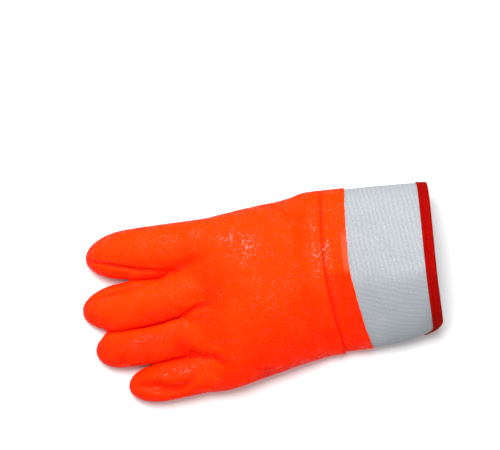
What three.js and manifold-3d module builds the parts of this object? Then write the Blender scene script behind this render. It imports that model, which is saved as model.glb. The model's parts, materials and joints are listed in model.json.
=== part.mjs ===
// A PVC-coated work glove for the left hand, lying palm down with its thumb tucked under the palm.
// The coated hand is one hollow shell. A stiff canvas gauntlet is let into its wrist, and the coating
// runs a little way over the canvas. A folded tape binds the gauntlet's mouth.
// Millimetres. -X is towards the fingertips, +X towards the mouth, +Y the thumb's side, +Z up.
import * as THREE from 'three';
import { mergeVertices } from 'three/addons/utils/BufferGeometryUtils.js';
import Module from 'manifold-3d';

const wasm = await Module();
wasm.setup();

// Driving dimensions of the hand
const PALM_LENGTH = 127; // wrist seam to the webs between the fingers
const PALM_WIDTH = 142; // across the knuckles, outside
const PALM_HEIGHT = 46; // thickness of the hand at its middle, outside
const HAND_WALL = 2.5; // knitted liner and coating together
const FLAT_BELOW = 1; // how far the soft underside is pressed flat where it rests
const FINGER_LENGTH = 131; // middle finger, from its root inside the palm
const FINGER_WIDTH = 38.2;
const FINGER_HEIGHT = 27;

// Driving dimensions of the gauntlet
const CUFF_LENGTH = 82.2; // wrist seam to the mouth, along the side
const WRIST_WIDTH = 131.6; // canvas at the seam
const WRIST_HEIGHT = 46;
const MOUTH_WIDTH = 117.2; // canvas at the mouth
const MOUTH_HEIGHT = 68;
const MOUTH_OFFSET = 2; // how far the mouth lies towards the thumb's side
const CANVAS = 1.4; // thickness of the canvas
const COAT = 0.9; // coating alone, where it runs over the canvas
const COAT_LENGTH = 21; // seam to the edge of the coating
const LET_IN = 9; // how far the canvas reaches into the hand
const TAPE = 0.8; // thickness of the binding tape
const TAPE_WIDTH = 7.2; // how far the tape reaches over the canvas
const CLEARANCE = 0.3; // between pieces that are sewn or bonded

const AROUND = 44; // points in a ring of the palm or gauntlet
const DIGIT_AROUND = 22;
const HOLLOW_AROUND = 16; // points in a ring inside a digit
const TIP_RINGS = 6;
const DIGIT_RINGS = 7;

// Palm sections, from the wrist to the webs. along: share of PALM_LENGTH. side and width: shares of
// PALM_WIDTH. lift, crown and belly: shares of PALM_HEIGHT, for the height of the widest line, and the
// rise and fall from it. roll: degrees that the thumb's side is raised. peak: exponent of the top's
// outline, 2 for an ellipse and less for a ridge.
const PALM_ROWS = [
  { along: 0.14, side: -0.014, width: 0.962, lift: 0.49, crown: 0.62, belly: 0.43, roll: 7, peak: 1.80 },
  { along: 0.26, side: -0.029, width: 0.955, lift: 0.53, crown: 0.64, belly: 0.41, roll: 8, peak: 1.95 },
  { along: 0.40, side: -0.044, width: 0.975, lift: 0.57, crown: 0.65, belly: 0.38, roll: 9, peak: 2.10 },
  { along: 0.55, side: -0.061, width: 0.992, lift: 0.62, crown: 0.61, belly: 0.35, roll: 10, peak: 2.20 },
  { along: 0.70, side: -0.083, width: 1.010, lift: 0.65, crown: 0.49, belly: 0.32, roll: 10, peak: 2.30 },
  { along: 0.82, side: -0.095, width: 1.006, lift: 0.65, crown: 0.32, belly: 0.28, roll: 10, peak: 2.30 },
  { along: 0.92, side: -0.098, width: 0.985, lift: 0.63, crown: 0.19, belly: 0.20, roll: 10, peak: 2.30 },
  { along: 1.00, side: -0.098, width: 0.930, lift: 0.61, crown: 0.09, belly: 0.08, roll: 10, peak: 2.30 },
];
const PALM_SQUARENESS = 2.3; // exponent of the underside's outline
const CUFF_PEAK = 1.65; // exponent of the gauntlet's top, which has a soft ridge along it
const WRIST_ROLL = 6; // degrees that the thumb's side is raised
const MOUTH_ROLL = 10;
const WRIST_BELLY = 0.42; // share of the gauntlet's height that lies below its widest line

// Gauntlet sections, from the seam to the mouth. along: share of CUFF_LENGTH. thumb, little and rise:
// how much of the way from its size at the wrist to its size at the mouth the half width on the
// thumb's side, the half width on the little finger's side and the height have gone.
const CUFF_ROWS = [
  { along: 0.00, thumb: 0.00, little: 0.00, rise: 0.00 },
  { along: 0.36, thumb: 0.22, little: -0.11, rise: 0.52 },
  { along: 0.63, thumb: 0.43, little: 0.02, rise: 0.80 },
  { along: 0.81, thumb: 0.62, little: 0.35, rise: 0.93 },
  { along: 0.92, thumb: 0.76, little: 0.66, rise: 0.98 },
  { along: 1.00, thumb: 1.00, little: 1.00, rise: 1.00 },
];

// Lines that run round the wrist and gauntlet, as shares of CUFF_LENGTH. bow: how far the line runs
// back over the top. skew: how much further it lies on the thumb's side than at the middle.
const SEAM = { bow: 0.086, skew: -0.015 };
const COAT_EDGE = { bow: 0.1, skew: -0.032 };
const MOUTH = { bow: 0.038, skew: 0.016, tuck: 0.3 }; // tuck: how far the mouth runs back beneath

const TUCK_TURN = 20; // degrees that the mouth's tuck is turned towards the little finger's side
const TUCK_POWER = 1.2; // how steeply the tuck grows

// Digits. length and tip: shares of FINGER_LENGTH, tip for the rounded end. width: share of
// FINGER_WIDTH. height: share of FINGER_HEIGHT. neck: the root's share of the width.
// along, side and lift place the root in the palm, as shares of PALM_LENGTH, PALM_WIDTH and
// PALM_HEIGHT. heading is the angle towards the thumb's side and droop the angle below level, in
// degrees at the root. veer and curl are what they gain by the tip.
const DIGITS = [
  { name: 'index', length: 0.931, width: 1.068, height: 1, tip: 0.32, neck: 0.96,
    along: 0.64, side: 0.268, lift: 0.86, heading: 0.6, veer: -1, droop: 5, curl: 19 },
  { name: 'middle', length: 1, width: 1, height: 1, tip: 0.282, neck: 0.91,
    along: 0.64, side: 0.037, lift: 0.76, heading: -7.4, veer: 6.4, droop: 5, curl: 17 },
  { name: 'ring', length: 0.931, width: 0.812, height: 0.926, tip: 0.168, neck: 1.06,
    along: 0.64, side: -0.2245, lift: 0.595, heading: -6.8, veer: 8.6, droop: 4, curl: 10.5 },
  { name: 'little', length: 0.786, width: 0.838, height: 0.926, tip: 0.221, neck: 1.04,
    along: 0.61, side: -0.439, lift: 0.455, heading: -7.8, veer: 7, droop: 3, curl: 7.5 },
  { name: 'thumb', length: 0.809, width: 0.916, height: 0.907, tip: 0.229, neck: 1,
    along: 0.15, side: 0.245, lift: 0.50, heading: 3, veer: -26, droop: 13, curl: -12 },
];
const DIGIT_SQUARENESS = 2.2;
const DIGIT_ROLL = 7; // degrees, as the hand's own roll
const NECK_SHARE = 0.6; // how far along a digit its root's width fades
const POLE_SHARE = 0.96; // how far the last ring of a fingertip closes in

// Folds pressed into the digits. from and to: shares of the digit's length. angle and turn: where the
// fold lies round the digit, in degrees from the thumb's side over the top, and how far it turns by its
// end. depth: share of the digit's height. spread: degrees.
const FOLDS = [
  { digit: 'index', from: 0.38, to: 0.97, angle: 152, turn: -50, depth: 0.1, spread: 17 },
  { digit: 'middle', from: 0.5, to: 0.95, angle: 46, turn: -2, depth: 0.04, spread: 16 },
  { digit: 'little', from: 0.45, to: 0.95, angle: 122, turn: -30, depth: 0.11, spread: 20 },
  { digit: 'thumb', from: 0.45, to: 0.92, angle: 60, turn: 20, depth: 0.08, spread: 18 },
];
const FOLD_POWER = 0.7; // how bluntly a fold ends, 1 for the plain sine
const FOLD_FADE = 1.5; // how soon a fold fades round the fingertip

const radians = THREE.MathUtils.degToRad;
const mix = THREE.MathUtils.lerp;

// A point of a superellipse at an angle from +Y over the top, turned by a roll. half is its half width.
// up and down are its rise and fall from the widest line. over and under are their exponents.
function outlinePoint(angle, { half, up, down, over, under, roll }) {
  const c = Math.cos(angle);
  const s = Math.sin(angle);
  const power = 2 / (s > 0 ? over : under);
  const y = half * Math.sign(c) * Math.abs(c) ** power;
  const z = (s > 0 ? up : down) * Math.sign(s) * Math.abs(s) ** power;
  return { y: y * Math.cos(roll) - z * Math.sin(roll), z: y * Math.sin(roll) + z * Math.cos(roll) };
}

// A smooth value of one column of a table at a place between its rows.
function column(rows, name, along) {
  const last = rows.length - 1;
  let i = 0;
  while (i < last - 1 && along > rows[i + 1].along) i += 1;
  const [r0, r1, r2, r3] = [rows[Math.max(i - 1, 0)], rows[i], rows[i + 1], rows[Math.min(i + 2, last)]];
  const span = r2.along - r1.along;
  const t = THREE.MathUtils.clamp((along - r1.along) / span, 0, 1);
  const slope1 = ((r2[name] - r0[name]) / (r2.along - r0.along)) * span;
  const slope2 = ((r3[name] - r1[name]) / (r3.along - r1.along)) * span;
  return (
    (2 * t ** 3 - 3 * t ** 2 + 1) * r1[name] + (t ** 3 - 2 * t ** 2 + t) * slope1
    + (3 * t ** 2 - 2 * t ** 3) * r2[name] + (t ** 3 - t ** 2) * slope2
  );
}

// Where a line round the gauntlet lies along X at an angle. at: its distance from the seam at the side.
function lineAt(at, line, angle) {
  const over = Math.max(0, Math.sin(angle)) ** 2;
  const under = Math.max(0, -Math.sin(angle + radians(TUCK_TURN))) ** TUCK_POWER;
  const shares = line.skew * Math.cos(angle) - line.bow * over - (line.tuck ?? 0) * under;
  return at + shares * CUFF_LENGTH;
}

// Where the coating's own lines lie, from the seam at 0 to the coating's edge at 1.
function coatAt(share, angle) {
  const line = { bow: mix(SEAM.bow, COAT_EDGE.bow, share), skew: mix(SEAM.skew, COAT_EDGE.skew, share) };
  return lineAt(share * COAT_LENGTH, line, angle);
}

// A point on the canvas's outside, grown outwards by grow. x is measured along the glove.
const CANVAS_FLOOR = COAT + CLEARANCE; // the canvas lies this high, on the coating beneath it
function cuffPoint(x, angle, grow) {
  const t = x / CUFF_LENGTH;
  const sideways = Math.cos(angle) > 0 ? MOUTH_OFFSET : -MOUTH_OFFSET;
  const gone = column(CUFF_ROWS, Math.cos(angle) > 0 ? 'thumb' : 'little', t);
  const half = mix(WRIST_WIDTH / 2, MOUTH_WIDTH / 2 + sideways, gone);
  const rise = column(CUFF_ROWS, 'rise', t);
  const height = mix(WRIST_HEIGHT, MOUTH_HEIGHT, rise);
  const roll = radians(mix(WRIST_ROLL, MOUTH_ROLL, rise));
  const belly = height * WRIST_BELLY;
  const outline = { half: half + grow, up: height - belly + grow, down: belly + grow, roll };
  const p = outlinePoint(angle, { ...outline, over: CUFF_PEAK, under: PALM_SQUARENESS });
  // The widest line's height above the lowest point of the rolled outline
  const seat = Math.hypot((WRIST_WIDTH / 2) * Math.sin(roll), belly * Math.cos(roll));
  return new THREE.Vector3(x, p.y, Math.max(CANVAS_FLOOR + seat - FLAT_BELOW + p.z, CANVAS_FLOOR - grow));
}

// A closed body from rings of points, each closed by a fan at its ends.
function loft(rings) {
  const around = rings[0].length;
  const positions = rings.flat().flatMap((p) => [p.x, p.y, p.z]);
  const index = [];
  for (let r = 0; r < rings.length - 1; r += 1) {
    for (let i = 0; i < around; i += 1) {
      const [a, b] = [r * around + i, r * around + ((i + 1) % around)];
      index.push(a, b, a + around, b, b + around, a + around);
    }
  }
  for (const [ring, flip] of [[0, true], [rings.length - 1, false]]) {
    const centre = rings[ring].reduce((sum, p) => sum.add(p), new THREE.Vector3()).divideScalar(around);
    const middle = positions.length / 3;
    positions.push(centre.x, centre.y, centre.z);
    for (let i = 0; i < around; i += 1) {
      const [a, b] = [ring * around + i, ring * around + ((i + 1) % around)];
      index.push(...(flip ? [b, a, middle] : [a, b, middle]));
    }
  }
  return solidFrom(positions, index);
}

// A closed tube wall from rings that run out along its outside and back along its inside.
function sleeve(rings) {
  const around = rings[0].length;
  const positions = rings.flat().flatMap((p) => [p.x, p.y, p.z]);
  const index = [];
  rings.forEach((_, r) => {
    const next = (r + 1) % rings.length;
    for (let i = 0; i < around; i += 1) {
      const j = (i + 1) % around;
      const [a, b, c, d] = [r * around + i, r * around + j, next * around + i, next * around + j];
      index.push(a, b, c, b, d, c);
    }
  });
  return solidFrom(positions, index);
}

function solidFrom(positions, index) {
  const geometry = new THREE.BufferGeometry();
  geometry.setAttribute('position', new THREE.Float32BufferAttribute(positions, 3));
  geometry.setIndex(index);
  return solidOf(geometry);
}

function solidOf(geometry) {
  const bare = geometry.clone();
  bare.deleteAttribute('normal');
  bare.deleteAttribute('uv');
  const merged = mergeVertices(bare, 1e-4);
  const triVerts = new Uint32Array(merged.index.array);
  const mesh = new wasm.Mesh({ numProp: 3, vertProperties: merged.attributes.position.array, triVerts });
  const solid = new wasm.Manifold(mesh);
  if (solid.volume() > 0) return solid;
  for (let i = 0; i < triVerts.length; i += 3) {
    [triVerts[i + 1], triVerts[i + 2]] = [triVerts[i + 2], triVerts[i + 1]];
  }
  return new wasm.Manifold(new wasm.Mesh({ ...mesh, numProp: 3, triVerts }));
}

const angles = (count) => Array.from({ length: count }, (_, i) => (i / count) * 2 * Math.PI);

const COAT_SHARES = [0.5, 0.1]; // rings of the coating between its edge and the seam
const PALM_STATIONS = [0.2, 0.3, 0.4, 0.5, 0.6, 0.7, 0.76, 0.82, 0.88, 0.94, 1]; // shares of PALM_LENGTH
const BOW_END = PALM_ROWS[3].along; // where the seam's bow has faded out of the palm's rings
const LEAST_RISE = 1; // the palm's hollow never closes up fully

// The palm's loft from beyond the coating's edge to the webs. grow is 0 for the outside and
// minus the wall for the hollow.
function palmSolid(grow, mouthReach, floor) {
  const wristGrow = CLEARANCE + HAND_WALL + grow; // over the canvas, in the hand
  const coatGrow = grow === 0 ? CLEARANCE + COAT : CLEARANCE; // over the canvas, past the seam
  const rings = [];
  for (const share of [mouthReach, 1, ...COAT_SHARES]) {
    if (share <= mouthReach) {
      rings.push(angles(AROUND).map((a) => cuffPoint(coatAt(share, a), a, coatGrow)));
    }
  }
  for (const share of [0, 1]) {
    rings.push(angles(AROUND).map((a) => cuffPoint(lineAt(-share * LET_IN, SEAM, a), a, wristGrow)));
  }
  for (const along of [PALM_ROWS[0].along, ...PALM_STATIONS]) {
    rings.push(palmRing(along, grow, Math.max(0, 1 - along / BOW_END) ** 2, floor));
  }
  return loft(rings);
}

function palmRing(along, grow, bowShare, floor) {
  const row = {};
  for (const name of Object.keys(PALM_ROWS[0])) row[name] = column(PALM_ROWS, name, along);
  const outline = {
    half: (row.width * PALM_WIDTH) / 2 + grow,
    up: Math.max(row.crown * PALM_HEIGHT + grow, LEAST_RISE),
    down: Math.max(row.belly * PALM_HEIGHT + grow, LEAST_RISE),
    over: row.peak,
    under: PALM_SQUARENESS,
    roll: radians(row.roll),
  };
  // The hollow ends a wall short of the webs.
  const reach = PALM_LENGTH + (along === 1 ? grow : 0);
  const line = { bow: SEAM.bow * bowShare, skew: SEAM.skew * bowShare };
  return angles(AROUND).map((angle) => {
    const p = outlinePoint(angle, outline);
    const z = Math.max(row.lift * PALM_HEIGHT + p.z, floor);
    return new THREE.Vector3(lineAt(-along * reach, line, angle), row.side * PALM_WIDTH + p.y, z);
  });
}

// A digit's row with its lengths in millimetres.
const sized = (digit) => ({
  ...digit,
  length: digit.length * FINGER_LENGTH,
  tip: digit.tip * FINGER_LENGTH,
  width: digit.width * FINGER_WIDTH,
  height: digit.height * FINGER_HEIGHT,
});

// How far the folds press a digit's surface in, at a share of its length and an angle.
function foldDepth(digit, share, angle) {
  let depth = 0;
  for (const fold of FOLDS.filter((f) => f.digit === digit.name)) {
    const t = (share - fold.from) / (fold.to - fold.from);
    if (t <= 0 || t >= 1) continue;
    const off = THREE.MathUtils.radToDeg(angle) - fold.angle - fold.turn * t;
    const across = Math.exp(-((off / fold.spread) ** 2));
    depth += fold.depth * digit.height * Math.sin(Math.PI * t) ** FOLD_POWER * across;
  }
  return depth;
}

function digitSolid(digit, grow) {
  const length = digit.length + grow;
  const body = digit.length - digit.tip;
  const tip = length - body;
  const stations = [];
  for (let i = 0; i < DIGIT_RINGS; i += 1) stations.push({ at: (body * i) / DIGIT_RINGS, share: 1 });
  for (let i = 0; i < TIP_RINGS; i += 1) {
    const turn = (i / TIP_RINGS) * (Math.PI / 2);
    stations.push({ at: body + tip * Math.sin(turn), share: Math.cos(turn) });
  }
  const centre = new THREE.Vector3(
    -digit.along * PALM_LENGTH, digit.side * PALM_WIDTH, digit.lift * PALM_HEIGHT,
  );
  const rings = [];
  let walked = 0;
  for (const station of stations) {
    const middle = directionOf(digit, (walked + station.at) / 2 / digit.length);
    centre.addScaledVector(middle, station.at - walked);
    walked = station.at;
    const share = station.at / digit.length;
    const forward = directionOf(digit, share);
    const side = new THREE.Vector3().crossVectors(forward, new THREE.Vector3(0, 0, 1)).normalize();
    const up = new THREE.Vector3().crossVectors(side, forward);
    const roll = digit.name === 'thumb' ? 0 : radians(DIGIT_ROLL) * (1 - share);
    const neck = mix(digit.neck, 1, Math.min(1, share / NECK_SHARE));
    const outline = {
      half: ((digit.width / 2) * neck + grow) * station.share,
      up: (digit.height / 2 + grow) * station.share,
      down: (digit.height / 2 + grow) * station.share,
      over: DIGIT_SQUARENESS,
      under: DIGIT_SQUARENESS,
      roll,
    };
    rings.push(angles(grow < 0 ? HOLLOW_AROUND : DIGIT_AROUND).map((angle) => {
      const p = outlinePoint(angle, outline);
      const pressed = foldDepth(digit, share, angle) * Math.min(1, station.share * FOLD_FADE);
      return centre.clone()
        .addScaledVector(side, p.y - pressed * Math.cos(angle + roll))
        .addScaledVector(up, p.z - pressed * Math.sin(angle + roll));
    }));
  }
  const end = directionOf(digit, length / digit.length);
  const pole = centre.clone().addScaledVector(end, length - walked);
  rings.push(rings.at(-1).map((p) => p.clone().lerp(pole, POLE_SHARE)));
  return loft(rings);
}

function directionOf(digit, share) {
  const heading = radians(digit.heading + digit.veer * share);
  const droop = radians(digit.droop + digit.curl * share);
  return new THREE.Vector3(
    -Math.cos(heading) * Math.cos(droop), Math.sin(heading) * Math.cos(droop), -Math.sin(droop),
  );
}

// Everything above a level, as a block to trim with.
function above(level) {
  const size = 4 * (PALM_LENGTH + PALM_WIDTH + CUFF_LENGTH);
  return solidOf(new THREE.BoxGeometry(size, size, size).translate(0, 0, size / 2 + level));
}

// The outline of the whole hand, or of its hollow, pressed flat where it rests.
function handForm(grow, mouthReach, floor) {
  const digits = DIGITS.map((digit) => digitSolid(sized(digit), grow).intersect(above(floor)));
  return digits.reduce((form, digit) => form.add(digit), palmSolid(grow, mouthReach, floor));
}

const OPEN_REACH = 1.5; // the hollow is cut through past the coating's edge, in lengths of the coating
function coatedHand() {
  const hollow = handForm(-HAND_WALL, OPEN_REACH, HAND_WALL);
  return handForm(0, 1, 0).intersect(above(0)).subtract(hollow);
}

// Rings of the canvas from where it starts in the hand to its mouth.
const CUFF_SHARES = [0.25, 0.5, 0.7, 0.85, 1];
const startAt = (angle) => lineAt(-LET_IN, SEAM, angle);
const mouthAt = (angle) => lineAt(CUFF_LENGTH, MOUTH, angle);

function canvasCuff() {
  const ring = (x, grow) => angles(AROUND).map((a) => cuffPoint(x(a), a, grow));
  const stations = [
    startAt,
    (a) => coatAt(0, a),
    ...COAT_SHARES.toReversed().map((share) => (a) => coatAt(share, a)),
    (a) => coatAt(1, a),
    ...CUFF_SHARES.map((share) => (a) => mix(coatAt(1, a), mouthAt(a), share)),
  ];
  const outside = stations.map((x) => ring(x, 0));
  const inside = stations.map((x) => ring(x, -CANVAS)).reverse();
  return sleeve([...outside, ...inside]);
}

const FOLDED_EDGE = [0.35, 0.65]; // where the tape is flat across its fold, as shares of the way inwards
function mouthBinding() {
  const ring = (back, grow) => angles(AROUND).map((a) => cuffPoint(mouthAt(a) - back, a, grow));
  const outer = CLEARANCE + TAPE;
  const inner = -CANVAS - CLEARANCE - TAPE;
  const bend = FOLDED_EDGE.map((share) => ring(-outer, mix(outer, inner, share)));
  return sleeve([
    ring(TAPE_WIDTH, CLEARANCE), ring(TAPE_WIDTH, outer), ring(TAPE_WIDTH / 2, outer),
    ring(-CLEARANCE, outer), ...bend,
    ring(-CLEARANCE, inner), ring(TAPE_WIDTH / 2, inner), ring(TAPE_WIDTH, inner),
    ring(TAPE_WIDTH, -CANVAS - CLEARANCE), ring(TAPE_WIDTH / 2, -CANVAS - CLEARANCE),
    ring(-CLEARANCE, -CANVAS - CLEARANCE), ring(-CLEARANCE, CLEARANCE), ring(TAPE_WIDTH / 2, CLEARANCE),
  ]);
}

function piece(name, solid, color, roughness) {
  const made = solid.getMesh();
  const geometry = new THREE.BufferGeometry();
  geometry.setAttribute('position', new THREE.Float32BufferAttribute(made.vertProperties, 3));
  geometry.setIndex(new THREE.BufferAttribute(made.triVerts, 1));
  geometry.computeVertexNormals();
  const material = new THREE.MeshStandardMaterial({ color, roughness, metalness: 0 });
  const mesh = new THREE.Mesh(geometry, material);
  mesh.name = name;
  return mesh;
}

const glove = new THREE.Group();
glove.add(piece('coated_hand', coatedHand(), 0xff4200, 0.42));
glove.add(piece('canvas_cuff', canvasCuff(), 0xc9ced4, 0.9));
glove.add(piece('mouth_binding', mouthBinding(), 0xc00a08, 0.75));

// The origin is the middle of the glove's outline, on the surface that it lies on.
const box = new THREE.Box3().setFromObject(glove);
const middle = box.getCenter(new THREE.Vector3());
glove.position.set(-middle.x, -middle.y, -box.min.z);

export default glove;
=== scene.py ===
import json
import math

import bmesh
import bpy
import numpy as np
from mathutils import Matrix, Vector

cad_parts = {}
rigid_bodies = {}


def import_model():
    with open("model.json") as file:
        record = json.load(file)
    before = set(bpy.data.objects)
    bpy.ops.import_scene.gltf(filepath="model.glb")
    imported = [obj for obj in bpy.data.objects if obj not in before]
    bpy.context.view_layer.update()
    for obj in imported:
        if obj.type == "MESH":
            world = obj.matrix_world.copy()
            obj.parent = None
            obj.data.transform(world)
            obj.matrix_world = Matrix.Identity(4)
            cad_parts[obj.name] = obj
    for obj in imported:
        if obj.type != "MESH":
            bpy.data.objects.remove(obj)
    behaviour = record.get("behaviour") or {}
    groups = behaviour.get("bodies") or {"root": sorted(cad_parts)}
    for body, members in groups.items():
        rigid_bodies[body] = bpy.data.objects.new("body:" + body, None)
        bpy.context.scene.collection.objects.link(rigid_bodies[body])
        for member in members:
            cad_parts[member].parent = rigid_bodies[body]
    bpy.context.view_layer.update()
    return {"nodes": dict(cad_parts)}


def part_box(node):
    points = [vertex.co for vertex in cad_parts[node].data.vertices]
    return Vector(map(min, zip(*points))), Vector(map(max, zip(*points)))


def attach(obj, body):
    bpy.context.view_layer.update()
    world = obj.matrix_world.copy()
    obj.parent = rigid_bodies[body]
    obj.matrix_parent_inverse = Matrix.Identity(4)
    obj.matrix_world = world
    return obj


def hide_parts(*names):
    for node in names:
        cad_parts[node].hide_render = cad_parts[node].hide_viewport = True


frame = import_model()

# Sizes, in metres. The glove's own zero is the wrist seam at the hand's side, on the middle line.
MM = 0.001
CUFF_LENGTH = 82.2 * MM  # wrist seam to the mouth, along the side
WRIST_WIDTH = 131.6 * MM
WRIST_HEIGHT = 46 * MM
MOUTH_WIDTH = 117.2 * MM
MOUTH_HEIGHT = 68 * MM
MOUTH_OFFSET = 2 * MM  # how far the mouth lies towards the thumb's side
CANVAS = 1.4 * MM
COAT = 0.9 * MM  # coating alone, where it runs over the canvas
COAT_LENGTH = 21 * MM
LET_IN = 9 * MM  # how far the canvas reaches into the hand
HAND_WALL = 2.5 * MM
TAPE = 0.8 * MM
TAPE_WIDTH = 7.2 * MM
CLEARANCE = 0.3 * MM
STITCH_BACK = 4.5 * MM  # the tape's row of stitches, from the mouth
STITCH_PRESS = 0.32 * MM
STITCH_LENGTH = 2.6 * MM
FLAT_BELOW = 1 * MM
CANVAS_FLOOR = COAT + CLEARANCE
CUFF_PEAK = 1.65  # exponent of the top's outline, which has a soft ridge
UNDERSIDE = 2.3  # exponent of the underside's outline
WRIST_ROLL = math.radians(6)  # how far the thumb's side is raised
MOUTH_ROLL = math.radians(10)
WRIST_BELLY = 0.42  # share of the height that lies below the widest line

# Gauntlet sections, as shares of the way from the wrist's size to the mouth's.
CUFF_ROWS = [
    {"along": 0.00, "thumb": 0.00, "little": 0.00, "rise": 0.00},
    {"along": 0.36, "thumb": 0.22, "little": -0.11, "rise": 0.52},
    {"along": 0.63, "thumb": 0.43, "little": 0.02, "rise": 0.80},
    {"along": 0.81, "thumb": 0.62, "little": 0.35, "rise": 0.93},
    {"along": 0.92, "thumb": 0.76, "little": 0.66, "rise": 0.98},
    {"along": 1.00, "thumb": 1.00, "little": 1.00, "rise": 1.00},
]

# Lines round the gauntlet, as shares of CUFF_LENGTH.
SEAM = {"bow": 0.086, "skew": -0.015, "tuck": 0}
COAT_EDGE = {"bow": 0.1, "skew": -0.032, "tuck": 0}
MOUTH = {"bow": 0.038, "skew": 0.016, "tuck": 0.3}
TUCK_TURN = math.radians(20)
TUCK_POWER = 1.2

AROUND = 176  # points round the canvas and the tape
LOOK_ALONG = 60  # places along the gauntlet where its widest point is looked for

# Slow waves of the gauntlet's stiff cloth: their height as a share of SWAY, how many run round the glove,
# where they start, and how they turn from the wrist to the mouth.
CLOTH_WAVES = [
    {"height": 0.9, "round": 2, "start": 1.1, "turn": 2.2},
    {"height": 0.6, "round": 5, "start": 0.4, "turn": -3.1},
    {"height": 0.35, "round": 9, "start": 2.0, "turn": 4.3},
]
SWAY = 0.45 * MM
SWAY_RISE = (-0.06, 0.3)  # shares of the gauntlet's length over which the waves set in


def mix(a, b, share):
    return a + (b - a) * share


def ease(low, high, value):
    """0 below low, 1 above high and smooth between them."""
    share = np.clip((value - low) / (high - low), 0, 1)
    return share * share * (3 - 2 * share)


def column(rows, name, along):
    """A smooth value of one column of a table at places between its rows."""
    at = np.array([row["along"] for row in rows])
    value = np.array([row[name] for row in rows])
    slope = np.empty(len(at))
    slope[1:-1] = (value[2:] - value[:-2]) / (at[2:] - at[:-2])
    slope[0] = (value[1] - value[0]) / (at[1] - at[0])
    slope[-1] = (value[-1] - value[-2]) / (at[-1] - at[-2])
    i = np.clip(np.searchsorted(at, along, "right") - 1, 0, len(at) - 2)
    span = at[i + 1] - at[i]
    t = np.clip((along - at[i]) / span, 0, 1)
    return (
        (2 * t**3 - 3 * t**2 + 1) * value[i]
        + (t**3 - 2 * t**2 + t) * slope[i] * span
        + (3 * t**2 - 2 * t**3) * value[i + 1]
        + (t**3 - t**2) * slope[i + 1] * span
    )


def line_at(at, line, angle):
    """Where a line round the gauntlet lies along it, at an angle from the thumb's side over the top."""
    over = np.maximum(0, np.sin(angle)) ** 2
    under = np.maximum(0, -np.sin(angle + TUCK_TURN)) ** TUCK_POWER
    return at + (line["skew"] * np.cos(angle) - line["bow"] * over - line["tuck"] * under) * CUFF_LENGTH


def coat_at(share, angle):
    """Where the coating over the canvas lies, from the seam at 0 to its edge at 1."""
    line = {name: mix(SEAM[name], COAT_EDGE[name], share) for name in SEAM}
    return line_at(share * COAT_LENGTH, line, angle)


def cuff_section(x, angle, grow):
    """The gauntlet's half width, rise, fall, roll and seat at x, grown outwards by grow."""
    t = x / CUFF_LENGTH
    to_thumb = np.cos(angle) > 0
    gone = np.where(to_thumb, column(CUFF_ROWS, "thumb", t), column(CUFF_ROWS, "little", t))
    sideways = np.where(to_thumb, MOUTH_OFFSET, -MOUTH_OFFSET)
    rise = column(CUFF_ROWS, "rise", t)
    height = mix(WRIST_HEIGHT, MOUTH_HEIGHT, rise)
    roll = mix(WRIST_ROLL, MOUTH_ROLL, rise)
    belly = height * WRIST_BELLY
    half = mix(WRIST_WIDTH / 2, MOUTH_WIDTH / 2 + sideways, gone) + grow
    seat = np.hypot(WRIST_WIDTH / 2 * np.sin(roll), belly * np.cos(roll))
    return half, height - belly + grow, belly + grow, roll, seat


def sway(x, angle):
    """How far the stiff cloth of the gauntlet stands in or out of its even form."""
    t = x / CUFF_LENGTH
    waves = sum(
        row["height"] * np.sin(row["round"] * angle + row["start"] + row["turn"] * t) for row in CLOTH_WAVES
    )
    top = np.maximum(0, np.sin(angle)) ** 0.5
    return waves * SWAY * ease(*SWAY_RISE, t) * top


def cuff_point(x, angle, grow):
    """Points on the canvas's outside, grown outwards by grow, as rows of x, y, z."""
    x = np.asarray(x, float)
    half, up, down, roll, seat = cuff_section(x, angle, grow + sway(x, angle))
    c, s = np.cos(angle), np.sin(angle)
    power = 2 / np.where(s > 0, CUFF_PEAK, UNDERSIDE)
    y = half * np.sign(c) * np.abs(c) ** power
    z = np.where(s > 0, up, down) * np.sign(s) * np.abs(s) ** power
    turned_y = y * np.cos(roll) - z * np.sin(roll)
    turned_z = CANVAS_FLOOR + seat - FLAT_BELOW + y * np.sin(roll) + z * np.cos(roll)
    return np.stack([x, turned_y, np.maximum(turned_z, np.maximum(CANVAS_FLOOR - grow, 0))], -1)


def cuff_angle(points, grow):
    """The angles round the gauntlet at which points beside the wrist lie."""
    _, up, down, roll, seat = cuff_section(points[:, 0], np.zeros(len(points)), grow)
    half = WRIST_WIDTH / 2 + grow
    z = points[:, 2] - (CANVAS_FLOOR + seat - FLAT_BELOW)
    across = points[:, 1] * np.cos(roll) + z * np.sin(roll)
    above = z * np.cos(roll) - points[:, 1] * np.sin(roll)
    power = np.where(above > 0, CUFF_PEAK, UNDERSIDE) / 2
    c = np.sign(across) * np.minimum(np.abs(across) / half, 1) ** power
    s = np.sign(above) * np.minimum(np.abs(above) / np.where(above > 0, up, down), 1) ** power
    return np.arctan2(s, c)


def cuff_origin():
    """The glove's own zero in the row's frame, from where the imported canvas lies."""
    every_degree = np.linspace(0, 2 * np.pi, 361)
    angle, x = np.meshgrid(every_degree, np.linspace(-LET_IN, CUFF_LENGTH, LOOK_ALONG))
    start = line_at(-LET_IN, SEAM, angle[0]).min()
    side = cuff_point(x, angle, 0)[..., 1].max()
    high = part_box("canvas_cuff")[1]
    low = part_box("canvas_cuff")[0]
    return Vector((low.x - start, high.y - side, 0))


ZERO = cuff_origin()


def in_row(points):
    return points + np.array(ZERO)


# Working with meshes


def clear_selection():
    if bpy.context.object is not None and bpy.context.object.mode != "OBJECT":
        bpy.ops.object.mode_set(mode="OBJECT")
    bpy.ops.object.select_all(action="DESELECT")


def only(obj):
    clear_selection()
    obj.select_set(True)
    bpy.context.view_layer.objects.active = obj


def edit(obj):
    """Opens one piece for edit, with all of it selected."""
    only(obj)
    bpy.ops.object.mode_set(mode="EDIT")
    bpy.ops.mesh.select_all(action="SELECT")


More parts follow.
